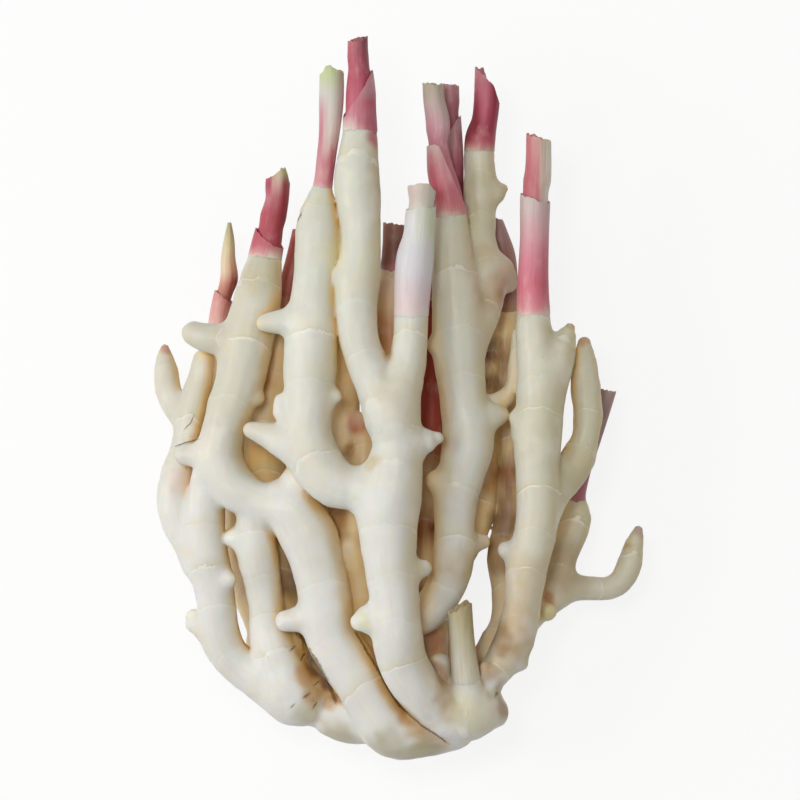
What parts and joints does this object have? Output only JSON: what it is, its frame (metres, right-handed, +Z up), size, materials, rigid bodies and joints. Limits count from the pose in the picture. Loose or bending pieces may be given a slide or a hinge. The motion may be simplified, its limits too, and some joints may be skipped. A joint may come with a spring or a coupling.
{
  "type": "young ginger root",
  "caption": "Whole hand of young ginger lying on its back: pale smooth finger-like rhizome branches with node rings and buds, and cut pink leafy shoots at the finger ends.",
  "frame": {"origin": "on the surface the hand lies on, under the centre of its outline seen from above", "axes": "+Y from the old base towards the cut shoots, +Z up through the front face, +X to the right of a viewer who looks down on it"},
  "size_m": [0.2458, 0.3583, 0.1024],
  "materials": {
    "ginger_skin": "thin, smooth, slightly waxy young skin over translucent cream flesh",
    "pink_sheath": "satin fibrous leaf sheath, deep pink at its base and paler above",
    "pale_sheath": "satin fibrous leaf sheath, near white with a blush of pink and green",
    "brown_sheath": "satin fibrous leaf sheath, red brown",
    "old_stem": "dry cut stem stub, fibrous"
  },
  "bodies": {
    "root": {"rhizome": "ginger_skin", "old_stem_stub": "old_stem", "far_left_shoot_sheath": "pink_sheath", "far_left_shoot_stem": "pale_sheath", "left_shoot_sheath": "pink_sheath", "left_shoot_stem": "pink_sheath", "green_tipped_shoot": "pale_sheath", "tall_shoot_sheath": "pink_sheath", "tall_shoot_stem": "pink_sheath", "pale_shoot_sheath": "pale_sheath", "pale_shoot_stem": "pale_sheath", "brown_shoot": "brown_sheath", "layered_shoot_sheath": "pink_sheath", "layered_shoot_stem": "pink_sheath", "behind_layered_shoot_sheath": "pink_sheath", "behind_layered_shoot_stem": "pink_sheath", "pointed_shoot": "pink_sheath", "right_shoot_sheath": "pink_sheath", "right_shoot_stem": "pink_sheath", "right_rear_shoot": "brown_sheath", "far_right_rear_shoot": "brown_sheath", "red_left_rear_shoot": "brown_sheath", "red_middle_rear_shoot": "brown_sheath", "under_left_shoot": "pink_sheath", "under_middle_shoot": "pink_sheath", "under_right_shoot": "pink_sheath"}
  },
  "joints": []
}
